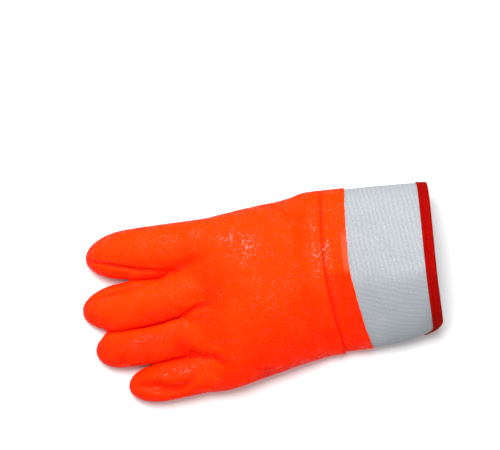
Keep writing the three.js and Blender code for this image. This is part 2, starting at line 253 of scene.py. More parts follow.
def read(items, name, width=1, kind=float):
    """One value of each item, as an array."""
    found = np.empty(len(items) * width, kind)
    items.foreach_get(name, found)
    return found if width == 1 else found.reshape(-1, width)


def coordinates(mesh):
    return read(mesh.vertices, "co", 3)


def set_coordinates(mesh, points):
    mesh.vertices.foreach_set("co", np.asarray(points, float).ravel())
    mesh.update()


def normals(mesh):
    return read(mesh.vertices, "normal", 3)


def local_points(obj):
    """A piece's points, from the glove's own zero."""
    return coordinates(obj.data) - np.array(ZERO)


def modify(obj, kind, **settings):
    """Adds one modifier, sets it and applies it."""
    only(obj)
    modifier = obj.modifiers.new(kind.title(), kind)
    for name, value in settings.items():
        setattr(modifier, name, value)
    bpy.ops.object.modifier_apply(modifier=modifier.name)


def keep_turns(obj, angles):
    """Writes the angle of each vertex round the gauntlet on the mesh, where extruding copies it."""
    layer = obj.data.attributes.get("turn") or obj.data.attributes.new("turn", "FLOAT", "POINT")
    layer.data.foreach_set("value", np.asarray(angles, np.float32))


def pull_rings(obj, places):
    """Extrudes the selected open ring once for each place, a function of the turn angle."""
    for place in places:
        bpy.ops.mesh.extrude_region_move()
        mesh = bmesh.from_edit_mesh(obj.data)
        turn = mesh.verts.layers.float["turn"]
        moved = [v for v in mesh.verts if v.select]
        points = in_row(place(np.array([v[turn] for v in moved])))
        for vertex, point in zip(moved, points):
            vertex.co = point
        bmesh.update_edit_mesh(obj.data)


def ring_tube(name, places):
    """A closed tube wall: a circle that is extruded from place to place and joined to its start."""
    clear_selection()
    bpy.ops.mesh.primitive_circle_add(vertices=AROUND, radius=WRIST_WIDTH / 2)
    obj = bpy.context.object
    obj.name = name
    obj.data.name = name
    angles = np.arange(AROUND) / AROUND * 2 * np.pi
    keep_turns(obj, angles)
    set_coordinates(obj.data, in_row(places[0](angles)))
    edit(obj)
    pull_rings(obj, places[1:])
    bpy.ops.mesh.select_all(action="DESELECT")
    bpy.ops.mesh.select_non_manifold(extend=False)
    bpy.ops.mesh.bridge_edge_loops()
    bpy.ops.mesh.select_all(action="SELECT")
    bpy.ops.mesh.normals_make_consistent(inside=False)
    bpy.ops.object.mode_set(mode="OBJECT")
    return obj


# Coated hand

VOXEL = 1.47 * MM
SHRINK = 1.3 * MM  # fingers are thinned by this much while the form is remeshed, so they stay apart
REGROW = SHRINK + 0.35 * MM
BLANK_END = 12 * MM  # where the CAD hand is cut off, past the seam
HAND_END = -6 * MM  # where the remeshed hand ends and its wrist is drawn on, before the seam
STRAIGHT_FROM = -45 * MM
WRIST_BLEND = 22 * MM
RING_PASSES = 14
POINT_MERGE = 0.001 * MM
RING_MERGE = 0.2 * MM
WEB_WALL = 0.6 * MM  # where two fingers touch
WEB_REACH = 13  # millimetres from the line of touch
LIP = CLEARANCE + HAND_WALL  # how far the CAD hand stands over the canvas at the seam
BAND_TOP = CLEARANCE + COAT
LEAST_STEP = 0.25 * MM  # from the hand down to the band, at the thumb's side
LITTLE_STEP = 1.6 * MM  # what the step gains towards the little finger's side
STEP_POWER = 1.6
STEP_SIDES = (-0.35, 0.05)  # sines of the angles between which the step sets in
TO_KEY = np.array([0, 0.447, 0.894])  # the way the faces look that get the most painted light, towards the key light


def step_at(angle):
    """How far the hand's end stands over the band round the wrist. It is flush underneath."""
    to_little = ((1 - np.cos(angle)) / 2) ** STEP_POWER
    return (LEAST_STEP + to_little * LITTLE_STEP) * ease(*STEP_SIDES, np.sin(angle))


def hand_blank():
    """The outside of the CAD hand up to the band, closed at the wrist."""
    source = frame["nodes"]["coated_hand"]
    obj = bpy.data.objects.new("coated_hand_skin", source.data.copy())
    bpy.context.scene.collection.objects.link(obj)
    edit(obj)
    bpy.ops.mesh.remove_doubles(threshold=POINT_MERGE)
    bpy.ops.mesh.bisect(plane_co=(ZERO.x + BLANK_END, 0, 0), plane_no=(1, 0, 0), clear_outer=True)
    bpy.ops.mesh.select_all(action="DESELECT")
    mesh = bmesh.from_edit_mesh(obj.data)
    tip = min(mesh.verts, key=lambda v: v.co.x)
    tip.select_set(True)
    bmesh.update_edit_mesh(obj.data)
    bpy.ops.mesh.select_linked()
    bpy.ops.mesh.select_all(action="INVERT")
    bpy.ops.mesh.delete(type="VERT")
    bpy.ops.mesh.select_all(action="SELECT")
    bpy.ops.mesh.fill_holes(sides=0)
    bpy.ops.mesh.quads_convert_to_tris()
    bpy.ops.object.mode_set(mode="OBJECT")
    return obj


def straighten(points, way):
    """Shifts the wrist along the glove so that the seam's curve becomes flat, or back again."""
    local = points - np.array(ZERO)
    near = ease(STRAIGHT_FROM, HAND_END, local[:, 0])
    angle = cuff_angle(np.stack([np.zeros(len(local)), local[:, 1], local[:, 2]], -1), LIP)
    moved = points.copy()
    moved[:, 0] -= way * line_at(0, SEAM, angle) * near
    return moved


def trim_wrist(obj):
    """Cuts the remeshed hand off square to the seam's curve, and gives its open ring its angles."""
    set_coordinates(obj.data, straighten(coordinates(obj.data), 1))
    edit(obj)
    bpy.ops.mesh.bisect(plane_co=(ZERO.x + HAND_END, 0, 0), plane_no=(1, 0, 0), clear_outer=True)
    bpy.ops.mesh.remove_doubles(threshold=RING_MERGE)
    bpy.ops.object.mode_set(mode="OBJECT")
    keep_turns(obj, cuff_angle(local_points(obj), LIP))
    set_coordinates(obj.data, straighten(coordinates(obj.data), -1))
    even_ring(obj)


def open_ring(mesh):
    """The vertices of the open ring, in their order round it."""
    edge = next(e for e in mesh.edges if e.is_boundary)
    ring = [edge.verts[0]]
    vertex = edge.verts[1]
    while vertex != ring[0]:
        ring.append(vertex)
        edge = next(e for e in vertex.link_edges if e.is_boundary and e != edge)
        vertex = edge.other_vert(vertex)
    return ring


def even_ring(obj):
    """Smooths the angles round the open ring, so that the rings pulled from it don't fold."""
    edit(obj)
    mesh = bmesh.from_edit_mesh(obj.data)
    layer = mesh.verts.layers.float["turn"]
    ring = open_ring(mesh)
    angles = np.unwrap([vertex[layer] for vertex in ring])
    whole = np.copysign(2 * np.pi, angles[-1] - angles[0])
    for _ in range(RING_PASSES):
        before = np.append(angles[-1] - whole, angles[:-1])
        after = np.append(angles[1:], angles[0] + whole)
        angles = (before + 2 * angles + after) / 4
    for vertex, angle in zip(ring, angles):
        vertex[layer] = angle
    bmesh.update_edit_mesh(obj.data)
    bpy.ops.object.mode_set(mode="OBJECT")


def turns_of(mesh):
    return read(mesh.attributes["turn"].data, "value", kind=np.float32).astype(float)


# Rings from the hand's end over the seam to the band: millimetres before the seam, then the share of the
# step and the millimetres of lift there, which draw a soft lip and the groove behind it.
SEAM_RINGS = {
    -4.5: (1, 0), -3.2: (1, 0), -2.2: (1.03, 0.04), -1.5: (1.05, 0.08),
    -0.9: (1, 0.02), -0.45: (0.75, -0.06), -0.15: (0.35, -0.18), 0: (0, -0.28),
}
# Millimetres of lift at shares of the band's length, and the rings between them without lift.
BAND_LIFTS = {0.02: -0.3, 0.045: -0.14, 0.08: -0.02, 0.13: 0.04, 0.975: -0.06, 1.0: -0.3}
BAND_MIDDLE = (0.2, 0.26, 0.32, 0.38, 0.44, 0.5, 0.56, 0.62, 0.68, 0.74, 0.8, 0.85, 0.9, 0.94)
# How unevenly the dip ends on the canvas.
EDGE_WAVES = [
    {"height": 1.0, "round": 7, "start": 0.5},
    {"height": 0.7, "round": 17, "start": 2.0},
    {"height": 0.5, "round": 41, "start": 0.0},
]
EDGE_WAVER = 0.15 * MM
EDGE_REACH = 0.7  # share of the band past which it wavers


def seam_ring(before):
    step, lift = SEAM_RINGS[before]

    def place(angle):
        height = BAND_TOP + step * step_at(angle) + lift * MM
        return cuff_point(line_at(before * MM, SEAM, angle), angle, height)
    return place


def band_ring(along):
    def place(angle):
        waver = sum(wave["height"] * np.sin(wave["round"] * angle + wave["start"]) for wave in EDGE_WAVES)
        edge = ease(EDGE_REACH, 1, along) * EDGE_WAVER * waver
        lift = BAND_LIFTS.get(along, 0) * MM
        return cuff_point(coat_at(along, angle) + edge, angle, BAND_TOP + lift)
    return place


def draw_wrist(obj):
    """Blends the hand's end into the gauntlet's section, then draws the lip, the groove and the band."""
    local = local_points(obj)
    turn = turns_of(obj.data)
    straight = straighten(in_row(local), 1)[:, 0] - ZERO.x
    share = ease(HAND_END - WRIST_BLEND, HAND_END, straight)[:, None]
    target = cuff_point(local[:, 0], turn, BAND_TOP + step_at(turn))
    set_coordinates(obj.data, in_row(mix(local, target, share)))
    band = sorted([*BAND_LIFTS, *BAND_MIDDLE])
    rings = [seam_ring(before) for before in SEAM_RINGS] + [band_ring(along) for along in band]
    edit(obj)
    bpy.ops.mesh.select_all(action="DESELECT")
    bpy.ops.mesh.select_mode(type="VERT")
    bpy.ops.mesh.select_non_manifold(
        extend=False, use_wire=False, use_multi_face=False, use_non_contiguous=False, use_verts=False
    )
    pull_rings(obj, rings)
    bpy.ops.object.mode_set(mode="OBJECT")


# Lines on the top of the hand, in the glove's own x and y in millimetres, from the fingertips inwards.
# depth and width belong to the groove, swell is the height of the coating beside it, and drop is how far its
# side towards the little finger lies lower, all in millimetres. dark is how deep the painted shade along it
# gets, up to 1.
CREASES = [
    {"name": "index", "depth": 1.5, "width": 1.4, "swell": 0.4, "drop": 1.3, "dark": 0.9,
     "line": [(-197, 37.4), (-186.1, 34.6), (-175.5, 30.8), (-165.9, 27.8), (-155.7, 24.7),
              (-145.4, 22.7), (-135.1, 20.5), (-129.4, 20.2)]},
    {"name": "middle", "depth": 0.8, "width": 1.3, "swell": 0.25, "dark": 0.55,
     "line": [(-204.2, 3.8), (-200.9, 4.6), (-196.2, 6.4), (-189.7, 7.0), (-176.7, 8.7),
              (-160.4, 11.0), (-148.6, 13.4)]},
    {"name": "little", "depth": 2.4, "width": 3.2, "swell": 0.9, "dark": 0.45,
     "line": [(-169.4, -69.1), (-161.6, -70.7), (-153.7, -71.4), (-148.9, -74.3), (-141.2, -76.0),
              (-135.8, -75.7), (-129.1, -72.4), (-123.5, -66.5)]},
    {"name": "web_of_the_middle", "depth": 2.2, "width": 2.0, "swell": 0.5, "dark": 0.8,
     "line": [(-125, -17.2), (-118.4, -14.3), (-114.6, -12.8), (-109.6, -12.1), (-105, -11.2)]},
    {"name": "web_of_the_ring", "depth": 2.4, "width": 3.0, "swell": 0.5, "dark": 0.6,
     "line": [(-125.8, -50.4), (-118.6, -51.8), (-112.9, -53.8), (-107.8, -54.2), (-104.3, -56.5),
              (-99.5, -61.5)]},
    {"name": "web_of_the_index", "depth": 1.2, "width": 4.5, "dark": 0.25,
     "line": [(-133, 19.0), (-124, 20.5), (-113, 24.0), (-104, 28.0)]},
    {"name": "thumb_side", "depth": 0.5, "width": 2.2, "swell": 0.2, "dark": 0.3,
     "line": [(-46.7, 61.3), (-37.2, 56.5), (-31.7, 53.1), (-27.5, 47.4)]},
    {"name": "pleat", "depth": 1.1, "width": 1.8, "swell": 0.4, "dark": 0.5,
     "line": [(-17, -48.5), (-13.3, -51.9), (-9.5, -54.8), (-7.2, -57.6)]},
]
# Lines along which two fingers touch, with painted shade along them.
CONTACTS = [
    {"name": "index_and_middle", "dark": 0.9,
     "line": [(-166.5, 17.8), (-154.2, 17.0), (-143.7, 16.2), (-138.3, 16.3), (-132.7, 18.6),
              (-129.4, 20.2)]},
    {"name": "middle_and_ring", "dark": 1.0,
     "line": [(-194, -20.2), (-187.7, -21.9), (-178.1, -22.4), (-164.7, -21.9), (-155.7, -21.6),
              (-142.7, -20.1), (-132.3, -18.0), (-123.2, -17.1), (-118.4, -14.3), (-114.6, -12.8),
              (-109.6, -12.1)]},
    {"name": "ring_and_little", "dark": 0.9,
     "line": [(-158.5, -52.8), (-150.9, -52.2), (-145.5, -51.6), (-137.4, -50.8), (-130.5, -50.7),
              (-125.8, -50.4), (-118.6, -51.8), (-112.9, -53.8), (-107.8, -54.2)]},
]
# Round dents, and one bump of negative depth, with their radius and depth in millimetres and the painted
# shade in them.
DENTS = [
    {"name": "ring_root", "at": (-130.5, -43.6), "size": 5.5, "depth": 1.5, "dark": 0.45},
    {"name": "ring_root_end", "at": (-123.5, -47.5), "size": 4, "depth": 1.1, "dark": 0.4},
    {"name": "ring_tip", "at": (-180.7, -45.6), "size": 3.6, "depth": 0.9, "dark": 0.4},
    {"name": "heel", "at": (-64.6, -74.4), "size": 6, "depth": 1.3, "dark": 0.5},
    {"name": "index_tip", "at": (-193.5, 34.2), "size": 2, "depth": -0.8, "dark": 0},
    {"name": "knuckle_valley", "at": (-104, -9), "size": 9, "depth": 1.0, "dark": 0.2},
    {"name": "wrist_side", "at": (-9, -49), "size": 4, "depth": 0.5, "dark": 0.3},
]
# A crease on the band that gets only painted shade.
BAND_CREASE = {"dark": 0.5, "line": [(8.5, -58.6), (12, -59.3), (21, -58.9)]}

# How the gap between two fingers is closed, in millimetres.
OVERLAP = 0.4  # by how much the fingers are pressed into each other where they touch
GAP_PASSES = 3
WIDEST_GAP = 4.5
SHUT_GAP = 0.3
GAP_REACH = 11
GAP_DEPTH = 9  # how far below the fingers' tops the gap is measured
GAP_BINS = 26  # stretches of the line in which the gap is measured
CONTACT_START = 0.14  # share of the line over which the fingers come together
CONTACT_END = 0.88  # share of the line past which they part again into the web
FLANK = 0.4  # least sideways part of the normal on a finger's flank
LEAN = 0.15  # least sideways part that tells which finger a face belongs to

# The relief on the top of the hand. Places beside a groove are in groove widths, the others in millimetres.
SWELL_PLACE = 2.2
SWELL_WIDTH = 1.2
DROP_EDGE = (-1.2, 0.4)
DROP_REACH = 7
LINE_END = 0.03  # how far into a half wave a crease begins and ends
RELIEF_FACING = (0.1, 0.5)  # upward parts of the normal between which the relief sets in
# Slow swells of the soft hand: their lengths along x and y, where they start and how high they are.
SWELLS = [
    {"x": 11, "y": 17, "start": 1.0, "height": 0.22},
    {"x": 19, "y": -9, "start": 2.3, "height": 0.22},
    {"x": 6.5, "y": 7.5, "start": 0.0, "height": 0.132},
]


def hill(distance, width):
    """A smooth hill that is 1 in its middle and about a third of that a width away."""
    return np.exp(-((distance / width) ** 2))


def along_line(points, line):
    """Signed offsets of points from a line in plan, shares of its length, and the ways across it."""
    line = np.array(line, float)
    lengths = np.hypot(*(line[1:] - line[:-1]).T)
    before = np.concatenate([[0], np.cumsum(lengths)[:-1]])
    best = np.full(len(points), np.inf)
    offset = np.zeros(len(points))
    share = np.zeros(len(points))
    across = np.zeros((len(points), 2))
    for start, end, length, walked in zip(line[:-1], line[1:], lengths, before):
        way = (end - start) / length
        left = np.array([-way[1], way[0]])
        reach = np.clip((points - start) @ way, 0, length)
        far = np.hypot(*(points - start - reach[:, None] * way).T)
        nearer = far < best
        best[nearer] = far[nearer]
        offset[nearer] = (np.where((points - start) @ left < 0, -1, 1) * far)[nearer]
        share[nearer] = ((walked + reach) / lengths.sum())[nearer]
        across[nearer] = left
    return offset, share, across


def close_gap(local, facing, line):
    """Moves the flanks of two fingers in plan, in millimetres, until they meet along a line."""
    offset, _, across = along_line(local[:, :2], line)
    lean = (facing[:, :2] * across).sum(-1)
    leans = (np.abs(offset) < GAP_REACH) & (np.abs(lean) > LEAN)
    side = np.where(leans, -np.sign(lean), np.sign(offset))
    middles = (np.arange(GAP_BINS) + 0.5) / GAP_BINS
    moved = local.copy()
    for _ in range(GAP_PASSES):
        offset, share, across = along_line(moved[:, :2], line)
        fade = ease(0, CONTACT_START, share) * (1 - ease(CONTACT_END, 1, share))
        slot = np.minimum((share * GAP_BINS).astype(int), GAP_BINS - 1)
        for way in (-1, 1):
            mine = (side == way) & (share > 0) & (share < 1)
            off = way * offset
            close = mine & (off < WIDEST_GAP + GAP_REACH)
            bins = [slot == i for i in range(GAP_BINS)]
            top = np.array([moved[close & here, 2].max(initial=0) for here in bins])
            flank = close & (np.abs(lean) > FLANK) & (moved[:, 2] > top[slot] - GAP_DEPTH)
            gap = np.array([off[flank & here].min(initial=WIDEST_GAP) for here in bins])
            near = np.interp(share, middles, np.where(gap < WIDEST_GAP, gap, 0))
            pull = (near + OVERLAP) * ease(0, SHUT_GAP, np.abs(near)) * fade
            pull = pull * (1 - ease(0, GAP_REACH, off - near))
            pull = np.minimum(pull, np.maximum(off + OVERLAP, 0))
            moved[mine, :2] -= (way * pull[:, None] * across)[mine]
    return moved


def ends_fade(share):
    """How much of a crease there is along it, from its two ends to its middle."""
    return np.sin(np.pi * np.clip(mix(LINE_END, 1 - LINE_END, share), 0, 1)) ** 0.5


def unevenness(flat):
    """Slow swells of the soft hand, about half a millimetre high."""
    x, y = flat[:, 0], flat[:, 1]
    return sum(row["height"] * np.sin(x / row["x"] + y / row["y"] + row["start"]) for row in SWELLS)


def shape_top(obj):
    """Closes the gaps between the fingers and presses the creases and dents into the top of the hand."""
    local = local_points(obj) / MM
    facing = normals(obj.data)
    for row in CONTACTS:
        local = close_gap(local, facing, row["line"])
    set_coordinates(obj.data, in_row(local * MM))
    normal = normals(obj.data)
    on_top = ease(*RELIEF_FACING, normal[:, 2])
    flat = local[:, :2]
    moved = unevenness(flat)
    for row in CREASES:
        offset, share, _ = along_line(flat, row["line"])
        width = row["width"]
        groove = hill(offset, width)
        swell = hill(np.abs(offset) - SWELL_PLACE * width, SWELL_WIDTH * width)
        lower = ease(*DROP_EDGE, -offset) * hill(offset, DROP_REACH)
        swell = row.get("swell", 0) * swell - row.get("drop", 0) * lower
        moved += (swell - row["depth"] * groove) * ends_fade(share)
    for row in DENTS:
        away = np.hypot(*(flat - row["at"]).T)
        moved -= row["depth"] * hill(away, row["size"])
    local += normal * (moved * on_top)[:, None]
    local[:, 2] = np.maximum(local[:, 2], 0)
    set_coordinates(obj.data, in_row(local * MM))


def write_layer(obj, name, per_vertex):
    layer = obj.data.attributes.new(name, "FLOAT", "POINT")
    layer.data.foreach_set("value", np.asarray(per_vertex, np.float32))


# Where light is painted on the skin, and where painted shade holds it back. Places are x or y in
# millimetres.
LIT_FACING = (0.5, 0.97)  # shares of the way towards the key light between which a face gets lit
BAND_SHADE = 0.3  # what is left of the lit tone on the band past its ridge
BAND_RIDGE = (-4, 1.5)
BAND_BEGINS = (-1, 1)  # before and past the seam
FINGER_SHADE = 0.35  # what is left of it on the ring and little fingers, which lie lower
BESIDE_MIDDLE = (-34, -20)
FINGER_ROOTS = (-135, -100)

# Where shade is painted into the skin's hollows: creases, dents, the seam and where fingers touch, in
# millimetres.
HOLLOW_FACING = (-0.1, 0.3)  # upward parts of the normal
DARK_SHARE = 0.55  # the dark line's width is this share of the groove's
LEAST_DARK = 0.3  # with this added
TOUCH_WIDTH = 1.7
# Painted shade along the groove at the seam.
SEAM_DARK = {"dark": 0.48, "past": 0.3, "width": 1.7}

# Where the band is paler: a strip on its upper side, near its edge on the canvas.
STRIP_START = (0.74, 0.83)  # shares of the band between which it gets paler
STRIP_SIDES = (-4, 3, 20, 36)  # y in millimetres where the strip begins, is full, fades and ends


def paint_skin(obj):
    """Writes three masks on the skin: painted light, painted shade in hollows, and a pale strip on the band.
    """
    local = local_points(obj) / MM
    flat = local[:, :2]
    x, y = flat.T
    normal = normals(obj.data)
    turn = turns_of(obj.data)
    past_seam = x - line_at(0, SEAM, turn) / MM
    on_band = mix(1, mix(BAND_SHADE, 1, ease(*BAND_RIDGE, y)), ease(*BAND_BEGINS, past_seam))
    on_fingers = mix(1, FINGER_SHADE, 1 - ease(*BESIDE_MIDDLE, y))
    in_light = on_band * mix(1, on_fingers, 1 - ease(*FINGER_ROOTS, x))
    write_layer(obj, "lit", ease(*LIT_FACING, normal @ TO_KEY) * in_light)
    on_top = ease(*HOLLOW_FACING, normal[:, 2])
    painted_hollow_shades = [SEAM_DARK["dark"] * hill(past_seam - SEAM_DARK["past"], SEAM_DARK["width"])]
    lines = [(row, DARK_SHARE * row["width"] + LEAST_DARK, on_top) for row in CREASES]
    lines += [(row, TOUCH_WIDTH, 1) for row in CONTACTS] + [(BAND_CREASE, 1, 1)]
    for row, width, where in lines:
        offset, share, _ = along_line(flat, row["line"])
        painted_hollow_shades.append(row["dark"] * hill(offset, width) * ends_fade(share) * where)
    for row in DENTS:
        away = np.hypot(*(flat - row["at"]).T)
        painted_hollow_shades.append(row["dark"] * hill(away, row["size"]) * on_top)
    write_layer(obj, "painted_hollow_shade", np.max(painted_hollow_shades, axis=0))
    start, stop = coat_at(0, turn) / MM, coat_at(1, turn) / MM
    band = (x - start) / (stop - start)
    begin, full, fading, end = STRIP_SIDES
    sides = ease(begin, full, y) * (1 - ease(fading, end, y))
    write_layer(obj, "pale_strip", ease(*STRIP_START, band) * sides * on_top)


def coated_hand(materials):
    """The dipped hand: one coated wall from the fingertips to the band over the canvas."""
    obj = hand_blank()
    modify(obj, "DISPLACE", strength=-SHRINK, mid_level=0)
    modify(obj, "REMESH", mode="VOXEL", voxel_size=VOXEL)
    modify(obj, "SMOOTH", factor=0.5, iterations=26)
    modify(obj, "DISPLACE", strength=REGROW, mid_level=0)
    modify(obj, "SMOOTH", factor=0.5, iterations=3)
    trim_wrist(obj)
    shape_top(obj)
    modify(obj, "SMOOTH", factor=0.3, iterations=1)
    draw_wrist(obj)
    obj.data.materials.clear()
    for material in materials:
        obj.data.materials.append(material)
    paint_skin(obj)
    give_wall(obj)
    return obj


FORM_SHARE = 0.92  # the hand's wall, as a share of HAND_WALL
THINNING = (-LET_IN - 13 * MM, -LET_IN - 1 * MM)  # from where to where it thins, past the seam
LINER_END = -1.2 * MM  # where the lined wall ends, past the seam
LOOSE = 0.05 * MM  # what is left free between the coating and the canvas under it
TOUCH_CORE = 6  # millimetres from the line of touch up to which the wall is at its thinnest
BARE_MORE = 2 * MM  # how far before the canvas the knit ends


def give_wall(obj):
    """Thickens the skin inwards: lined in the hand, thinner over the canvas, coating alone on the band."""
    turn = turns_of(obj.data)
    local = local_points(obj)
    past_seam = local[:, 0] - line_at(0, SEAM, turn)
    over_canvas = BAND_TOP + step_at(turn) - CLEARANCE - LOOSE
    wall = mix(FORM_SHARE * HAND_WALL, over_canvas, ease(*THINNING, past_seam))
    wall = np.where(past_seam > LINER_END, COAT - LOOSE, wall)
    for row in CONTACTS:
        offset, _, _ = along_line(local[:, :2] / MM, row["line"])
        wall = mix(WEB_WALL, wall, ease(TOUCH_CORE, WEB_REACH, np.abs(offset)))
    level = np.round(wall / HAND_WALL, 2)
    group = obj.vertex_groups.new(name="wall")
    for value in np.unique(level):
        group.add(np.nonzero(level == value)[0].tolist(), float(value), "REPLACE")
    edit(obj)
    bpy.ops.mesh.normals_make_consistent(inside=False)
    bpy.ops.object.mode_set(mode="OBJECT")
    solidify = {"thickness": HAND_WALL, "offset": -1, "vertex_group": "wall", "use_even_offset": False}
    modify(obj, "SOLIDIFY", material_offset=1, material_offset_rim=0, **solidify)
    bare_liner(obj)


def bare_liner(obj):
    """Leaves the knit off the inside where two fingers touch and where the coating lies on the canvas."""
    polygons = obj.data.polygons
    local = read(polygons, "center", 3) - np.array(ZERO)
    bare = local[:, 0] > -LET_IN - BARE_MORE
    for row in CONTACTS:
        offset, _, _ = along_line(local[:, :2] / MM, row["line"])
        bare |= np.abs(offset) < WEB_REACH
    slots = read(polygons, "material_index", kind=np.int32)
    slots[bare] = 0
    polygons.foreach_set("material_index", slots)
    obj.data.update()


# Gauntlet

CANVAS_RINGS = 34
TAPE_RINGS = 15
FOLD_RINGS = 9
FOLD_REACH = 0.9  # share of a half circle by which the fold stands out
TAPE_EDGE = 0.25 * MM  # rounding of the tape's cut edges
TAPE_ENDS = (0.2 * MM, 0.4 * MM)  # from the cut edge, and from the mouth, to the first and last ring
STITCH_SINK = 0.8 * MM  # half width of the groove that the stitches press


def canvas_cuff():
    """The stiff canvas tube, from inside the hand to its bound mouth."""
    def start(angle):
        return line_at(-LET_IN, SEAM, angle)

    def end(angle):
        return line_at(CUFF_LENGTH, MOUTH, angle)

    shares = np.linspace(0, 1, CANVAS_RINGS)
    outside = [lambda a, s=s: cuff_point(mix(start(a), end(a), s), a, 0) for s in shares]
    inside = [lambda a, s=s: cuff_point(mix(start(a), end(a), s), a, -CANVAS) for s in shares[::-1]]
    return ring_tube("canvas_gauntlet", outside + inside)


def mouth_binding():
    """The tape folded over the gauntlet's mouth, with rounded edges and a rounded fold."""
    def place(back, grow):
        return lambda a: cuff_point(line_at(CUFF_LENGTH, MOUTH, a) - back, a, grow)

    def groove(back):
        return STITCH_PRESS * hill(back - STITCH_BACK, STITCH_SINK)

    outer = CLEARANCE + TAPE
    inner = -CANVAS - CLEARANCE - TAPE
    bend = (outer - inner) / 2
    middle = (outer + inner) / 2
    backs = np.linspace(TAPE_WIDTH - TAPE_ENDS[0], TAPE_ENDS[1], TAPE_RINGS)
    fold = np.linspace(np.pi / 2, -np.pi / 2, FOLD_RINGS)
    places = [place(TAPE_WIDTH, CLEARANCE), place(TAPE_WIDTH, outer - TAPE_EDGE)]
    places += [place(back, outer - groove(back)) for back in backs]
    places += [place(-bend * math.cos(t) * FOLD_REACH, middle + bend * math.sin(t)) for t in fold]
    places += [place(back, inner + groove(back)) for back in backs[::-1]]
    places += [place(TAPE_WIDTH, inner + TAPE_EDGE), place(TAPE_WIDTH, -CANVAS - CLEARANCE)]
    places += [place(back, -CANVAS - CLEARANCE) for back in (TAPE_WIDTH / 2, 0)]
    places += [place(-CLEARANCE, -CANVAS - CLEARANCE), place(-CLEARANCE, CLEARANCE)]
    places += [place(back, CLEARANCE) for back in (0, TAPE_WIDTH / 2)]
    return ring_tube("mouth_tape", places)


# Materials


def link(tree, source, target):
    tree.links.new(source, target)


def node(tree, kind, **settings):
    made = tree.nodes.new(kind)
    for name, value in settings.items():
        setattr(made, name, value)
    return made


def values(made, **inputs):
    """Sets a node's inputs by name, with spaces written as underscores."""
    for name, value in inputs.items():
        made.inputs[name.replace("_", " ")].default_value = value
    return made


def feed(tree, socket, value):
    """Links a socket to another node's value, or sets it to a number or a colour."""
    if hasattr(value, "is_linked"):
        link(tree, value, socket)
    elif value is not None:
        socket.default_value = value


def maths(tree, operation, a, b=None, clamp=False):
    made = node(tree, "ShaderNodeMath", operation=operation, use_clamp=clamp)
    feed(tree, made.inputs[0], a)
    feed(tree, made.inputs[1], b)
    return made.outputs[0]


def plus(tree, a, b):
    return maths(tree, "ADD", a, b)


def minus(tree, a, b, clamp=False):
    return maths(tree, "SUBTRACT", a, b, clamp)


def times(tree, a, b, clamp=False):
    return maths(tree, "MULTIPLY", a, b, clamp)


def blend_colours(tree, factor, a, b):
    made = node(tree, "ShaderNodeMix", data_type="RGBA")
    for socket, value in ((0, factor), (6, a), (7, b)):
        feed(tree, made.inputs[socket], value)
    return made.outputs[2]


def overlaid(tree, colour, *layers):
    """A colour with other colours over it, each by its mask."""
    for where, over in layers:
        colour = blend_colours(tree, where, colour, over)
    return colour


def texture(tree, place, kind="Noise", **inputs):
    """A texture node that is read at a place."""
    made = values(node(tree, "ShaderNodeTex" + kind), **inputs)
    link(tree, place, made.inputs["Vector"])
    return made


def surface(tree, shader, colour, height, strength, distance, **inputs):
    """Gives a shader its colour, its fine relief and its other values."""
    link(tree, colour, shader.inputs["Base Color"])
    relief = values(node(tree, "ShaderNodeBump"), Strength=strength, Distance=distance)
    link(tree, height, relief.inputs["Height"])
    link(tree, relief.outputs[0], shader.inputs["Normal"])
    values(shader, **inputs)


def new_group(name, inputs, outputs):
    """A node group whose outputs are numbers. The first input is a vector and the others are numbers."""
    group = bpy.data.node_groups.new(name, "ShaderNodeTree")
    group.interface.new_socket(inputs[0], in_out="INPUT", socket_type="NodeSocketVector")
    for label in inputs[1:]:
        group.interface.new_socket(label, in_out="INPUT", socket_type="NodeSocketFloat")
    for label in outputs:
        group.interface.new_socket(label, in_out="OUTPUT", socket_type="NodeSocketFloat")
    return group, group.nodes.new("NodeGroupInput"), group.nodes.new("NodeGroupOutput")


CRUMBS_TO_GRAIN = 0.8  # crumbs in the length of a grain
CRUMB_RADIUS = 0.48  # share of a crumb's cell
CRUMB_SLOPE = 4
CRUMBS_GONE = 0.42  # share of the crumbs that is left out
CRUMB_HEIGHT = 0.35


def sandy_grain_group():
    """The coating's fine sand: a height, and a mask of sparse, smooth crumbs that catch the light."""
    group, source, target = new_group("sandy_grain", ["Vector", "Grain size"], ["Height", "Crumbs"])
    place = source.outputs["Vector"]
    scale = maths(group, "DIVIDE", 1, source.outputs["Grain size"])
    fine = texture(group, place, Detail=3.0, Roughness=0.65)
    link(group, scale, fine.inputs["Scale"])
    cells = texture(group, place, "Voronoi")
    link(group, times(group, scale, CRUMBS_TO_GRAIN), cells.inputs["Scale"])
    inside = minus(group, CRUMB_RADIUS, cells.outputs["Distance"])
    dome = times(group, inside, CRUMB_SLOPE, clamp=True)
    chance = node(group, "ShaderNodeSeparateColor")
    link(group, cells.outputs["Color"], chance.inputs[0])
    kept = maths(group, "GREATER_THAN", chance.outputs[0], CRUMBS_GONE)
    crumbs = times(group, dome, kept)
    link(group, crumbs, target.inputs["Crumbs"])
    height = plus(group, fine.outputs[0], times(group, crumbs, CRUMB_HEIGHT))
    link(group, height, target.inputs["Height"])
    return group


RIB = 0.6  # share of the height in the twill's slanting ribs
THREAD = 0.4  # and in its crossing threads
GAP_BELOW = -0.1
GAP_SLOPE = 1.2


